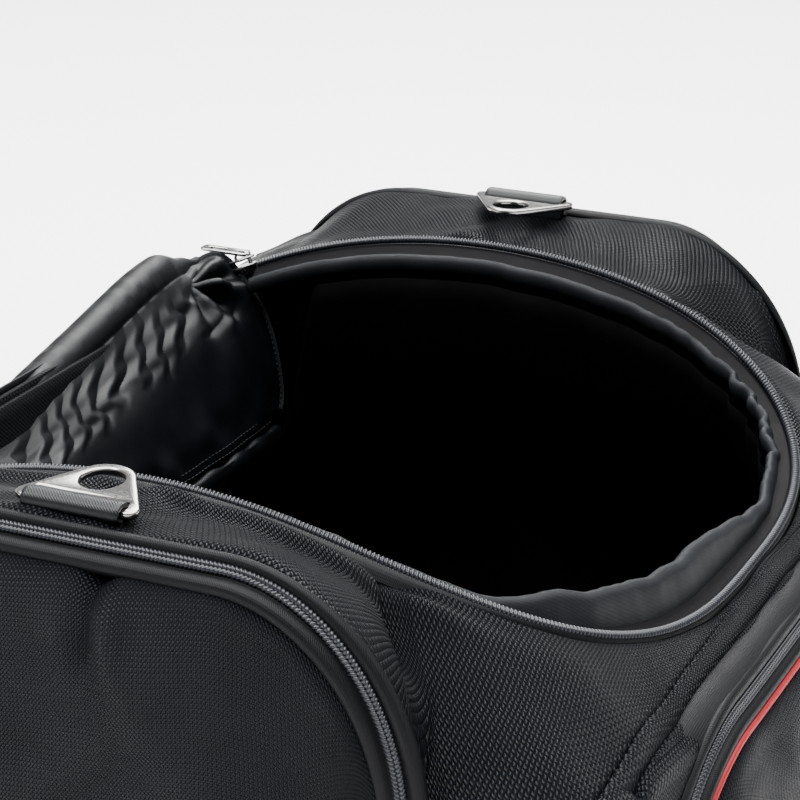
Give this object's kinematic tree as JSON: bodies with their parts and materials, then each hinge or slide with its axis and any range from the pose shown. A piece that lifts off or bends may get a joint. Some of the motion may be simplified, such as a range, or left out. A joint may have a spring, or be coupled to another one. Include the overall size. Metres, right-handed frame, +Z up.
{
  "type": "soft travel holdall",
  "caption": "Soft travel holdall with an arched top, a U-shaped zip lid that folds over its back, arched zip pockets and swinging strap rings.",
  "frame": {"origin": "on the floor plane under the crest of the arched top, at the middle of the bag's length, on the underside of the base panel", "axes": "+Z up; +X to the front, where the front pocket is (the lid is hinged along the back, at -X); Y along the bag, from the left end to the right end"},
  "size_m": [0.5102, 0.4898, 0.354],
  "materials": {
    "ballistic_nylon": "coarse basket weave",
    "pocket_nylon": "fine weave",
    "lining_satin": "satin",
    "zip_tape": "woven tape",
    "zip_coil": "glossy nylon coil",
    "base_board": "matt",
    "webbing_tab": "smooth webbing",
    "polished_nickel": "polished",
    "red_piping": "smooth piping"
  },
  "bodies": {
    "bag": {"base_panel": "ballistic_nylon", "base_board": "base_board", "front_panel": "ballistic_nylon", "back_panel": "ballistic_nylon", "left_end_panel": "ballistic_nylon", "right_end_panel": "ballistic_nylon", "front_top_strip": "ballistic_nylon", "left_top_strip": "ballistic_nylon", "right_top_strip": "ballistic_nylon", "lining_floor": "lining_satin", "front_lining": "lining_satin", "right_lining": "lining_satin", "back_lining": "lining_satin", "left_lining": "lining_satin", "main_zip_coil": "zip_coil", "main_zip_tape": "zip_tape", "left_main_slider": "polished_nickel", "right_main_slider": "polished_nickel", "lid_fold_roll": "lining_satin", "back_fold_lining": "lining_satin", "hinge_seam_tape": "zip_tape", "left_pocket_panel": "pocket_nylon", "right_pocket_panel": "pocket_nylon", "left_pocket_zip_tape": "zip_tape", "right_pocket_zip_tape": "zip_tape", "left_pocket_zip_coil": "zip_coil", "right_pocket_zip_coil": "zip_coil", "front_pocket_panel": "pocket_nylon", "front_pocket_zip_tape": "zip_tape", "front_pocket_zip_coil": "zip_coil", "front_pocket_piping": "red_piping", "left_ring_tab": "webbing_tab", "right_ring_tab": "webbing_tab"},
    "lid": {"lid_panel": "ballistic_nylon", "lid_lining": "lining_satin", "lid_seam_binding": "lining_satin", "lid_zip_tape": "zip_tape", "lid_zip_coil": "zip_coil"},
    "left_ring": {"left_ring": "polished_nickel"},
    "right_ring": {"right_ring": "polished_nickel"},
    "left_main_pull": {"left_main_pull": "polished_nickel"},
    "right_main_pull": {"right_main_pull": "polished_nickel"},
    "left_pocket_slider": {"left_pocket_slider": "polished_nickel"},
    "right_pocket_slider": {"right_pocket_slider": "polished_nickel"},
    "left_pocket_pull": {"left_pocket_pull": "polished_nickel"},
    "right_pocket_pull": {"right_pocket_pull": "polished_nickel"},
    "front_pocket_slider": {"front_pocket_slider": "polished_nickel"},
    "front_pocket_pull": {"front_pocket_pull": "polished_nickel"}
  },
  "joints": [
    {"name": "lid_fold", "type": "hinge", "parent": "bag", "child": "lid", "pos_m": [-0.142, 0, 0.314], "axis": [0, 1, 0], "range_deg": [0, 251.5]},
    {"name": "left_ring_swing", "type": "hinge", "parent": "bag", "child": "left_ring", "pos_m": [0, -0.1985, 0.3495], "axis": [1, 0, 0], "range_deg": [0, 150]},
    {"name": "right_ring_swing", "type": "hinge", "parent": "bag", "child": "right_ring", "pos_m": [0, 0.1985, 0.3495], "axis": [-1, 0, 0], "range_deg": [0, 150]},
    {"name": "left_main_pull_flip", "type": "hinge", "parent": "bag", "child": "left_main_pull", "pos_m": [-0.1242, -0.152, 0.32043], "axis": [0, 1, 0], "range_deg": [0, 140]},
    {"name": "right_main_pull_flip", "type": "hinge", "parent": "bag", "child": "right_main_pull", "pos_m": [-0.1242, 0.152, 0.32043], "axis": [0, 1, 0], "range_deg": [0, 140]},
    {"name": "left_pocket_slide", "type": "slide", "parent": "bag", "child": "left_pocket_slider", "axis": [0, 0, 1], "range_m": [0, 0.13]},
    {"name": "right_pocket_slide", "type": "slide", "parent": "bag", "child": "right_pocket_slider", "axis": [0, 0, 1], "range_m": [0, 0.13]},
    {"name": "left_pocket_pull_flip", "type": "hinge", "parent": "left_pocket_slider", "child": "left_pocket_pull", "pos_m": [-0.127, -0.21731, 0.062], "axis": [-1, 0, 0], "range_deg": [0, 150]},
    {"name": "right_pocket_pull_flip", "type": "hinge", "parent": "right_pocket_slider", "child": "right_pocket_pull", "pos_m": [-0.127, 0.21731, 0.062], "axis": [1, 0, 0], "range_deg": [0, 150]},
    {"name": "front_pocket_slide", "type": "slide", "parent": "bag", "child": "front_pocket_slider", "axis": [0, -1, 0], "range_m": [0, 0.09]},
    {"name": "front_pocket_pull_flip", "type": "hinge", "parent": "front_pocket_slider", "child": "front_pocket_pull", "pos_m": [0.2086, 0.048, 0.2625], "axis": [0, -1, 0], "range_deg": [0, 100]}
  ]
}
